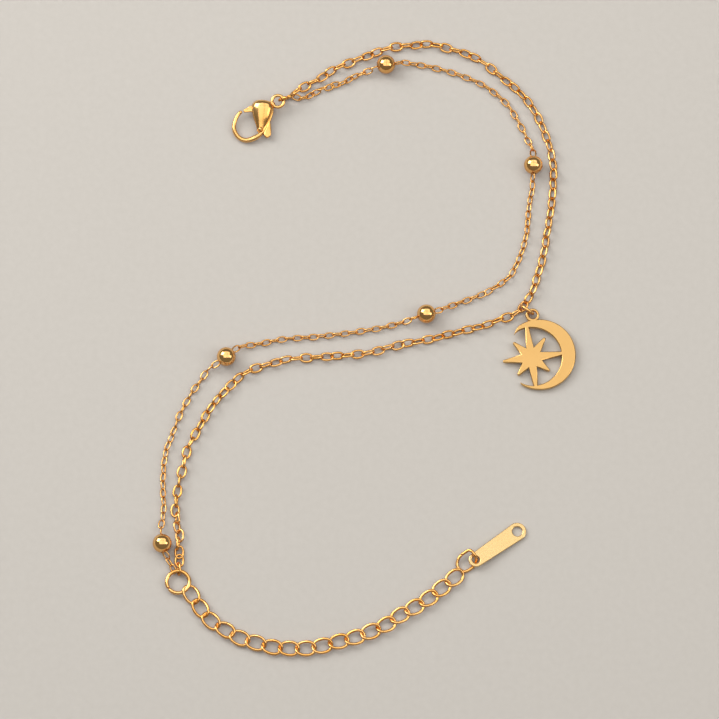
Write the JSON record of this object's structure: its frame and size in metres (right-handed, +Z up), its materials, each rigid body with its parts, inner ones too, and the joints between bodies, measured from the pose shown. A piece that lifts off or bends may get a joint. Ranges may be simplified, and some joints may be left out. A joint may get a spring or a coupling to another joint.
{
  "type": "charm anklet",
  "caption": "Chain anklet lying open: a plain link chain and a finer beaded chain on one lobster clasp, a moon-and-star pendant, and an extension chain ending in a blank tag.",
  "frame": {"origin": "middle of the laid-out anklet's bounding box, on the surface it lies on", "axes": "+Z up from the surface, +Y along the layout's length towards the clasp, +X to the right seen from above with the clasp at the top"},
  "size_m": [0.0751, 0.1145, 0.0034],
  "materials": {
    "clasp_metal": "polished gold plate",
    "chain_wire": "polished gold plate",
    "bead_metal": "mirror-polished gold plate",
    "pendant_metal": "satin gold plate with bright edges",
    "tag_metal": "fine satin gold plate, bare"
  },
  "bodies": {
    "anklet": {"clasp_body": "clasp_metal", "clasp_ring": "chain_wire", "main_chain_clasp_side": "chain_wire", "main_chain_tail_side": "chain_wire", "bead_chain_1": "chain_wire", "bead_chain_2": "chain_wire", "bead_chain_3": "chain_wire", "bead_chain_4": "chain_wire", "bead_chain_5": "chain_wire", "bead_chain_6": "chain_wire", "bead_1": "bead_metal", "bead_2": "bead_metal", "bead_3": "bead_metal", "bead_4": "bead_metal", "bead_5": "bead_metal", "pendant_ring": "chain_wire", "moon_star_pendant": "pendant_metal", "end_ring": "chain_wire", "extension_chain": "chain_wire", "tag_link": "chain_wire", "tag": "tag_metal"},
    "lever": {"clasp_lever": "clasp_metal"}
  },
  "joints": [
    {"name": "lever_hinge", "type": "hinge", "parent": "anklet", "child": "lever", "pos_m": [-0.01891, 0.04011, 0.0011], "axis": [0.081, 0.1131, -0.9903], "range_deg": [0, 20], "stiffness_Nm_per_rad": 0.00001}
  ]
}
